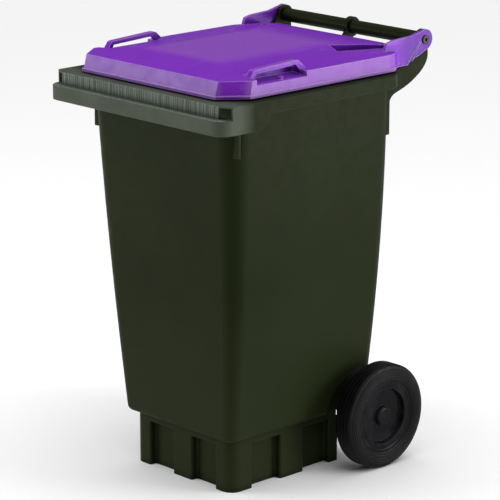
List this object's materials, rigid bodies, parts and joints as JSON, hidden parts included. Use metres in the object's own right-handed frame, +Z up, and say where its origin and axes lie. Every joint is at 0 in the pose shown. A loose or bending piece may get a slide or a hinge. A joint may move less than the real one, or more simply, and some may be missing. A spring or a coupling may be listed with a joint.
{
  "type": "two-wheel refuse bin",
  "caption": "Household wheelie bin with a tapered tub, a hinged lid with grab handles, a rear handle bar and wheels on a steel axle.",
  "frame": {"origin": "on the ground, at the middle of the bin's bounding footprint", "axes": "+Z up, X across the bin, -Y towards the front lifting comb, +Y towards the wheels, handle and lid hinge"},
  "size_m": [0.534, 0.655, 0.9308],
  "materials": {
    "tub_plastic": "dark olive green moulded polyethylene, satin with a fine grain",
    "lid_plastic": "purple moulded polyethylene, satin",
    "black_plastic": "black nylon",
    "tyre_rubber": "black solid rubber with fine sidewall rings",
    "wheel_plastic": "black moulded plastic, slightly glossy",
    "nylon": "natural nylon",
    "axle_steel": "zinc-plated steel",
    "spring_steel": "spring steel wire"
  },
  "bodies": {
    "root": {"bin_body": "tub_plastic", "handle_bar": "tub_plastic", "axle": "axle_steel", "lid_hinge_pin_left": "black_plastic", "lid_hinge_pin_right": "black_plastic", "axle_washer_left": "nylon", "axle_washer_right": "nylon"},
    "lid": {"lid": "lid_plastic"},
    "wheel_left": {"tyre_left": "tyre_rubber", "wheel_hub_left": "wheel_plastic", "hub_cap_left": "wheel_plastic", "wheel_bush_left": "nylon", "lock_spring_left": "spring_steel"},
    "lock_pin_left": {"lock_pin_left": "nylon"},
    "wheel_right": {"tyre_right": "tyre_rubber", "wheel_hub_right": "wheel_plastic", "hub_cap_right": "wheel_plastic", "wheel_bush_right": "nylon", "lock_spring_right": "spring_steel"},
    "lock_pin_right": {"lock_pin_right": "nylon"}
  },
  "joints": [
    {"name": "lid_hinge", "type": "hinge", "parent": "root", "child": "lid", "pos_m": [0, 0.3055, 0.9088], "axis": [-1, 0, 0], "range_deg": [0, 270]},
    {"name": "wheel_left_spin", "type": "hinge", "parent": "root", "child": "wheel_left", "pos_m": [-0.235, 0.1616, 0.1143], "axis": [-1, 0, 0], "continuous": true},
    {"name": "lock_pin_left_slide", "type": "slide", "parent": "wheel_left", "child": "lock_pin_left", "axis": [0, 0, 1], "range_m": [0, 0.0034], "stiffness_N_per_m": 400, "springref_m": -0.002, "deforming": ["lock_spring_left"]},
    {"name": "wheel_right_spin", "type": "hinge", "parent": "root", "child": "wheel_right", "pos_m": [0.235, 0.1616, 0.1143], "axis": [-1, 0, 0], "continuous": true},
    {"name": "lock_pin_right_slide", "type": "slide", "parent": "wheel_right", "child": "lock_pin_right", "axis": [0, 0, 1], "range_m": [0, 0.0034], "stiffness_N_per_m": 400, "springref_m": -0.002, "deforming": ["lock_spring_right"]}
  ]
}
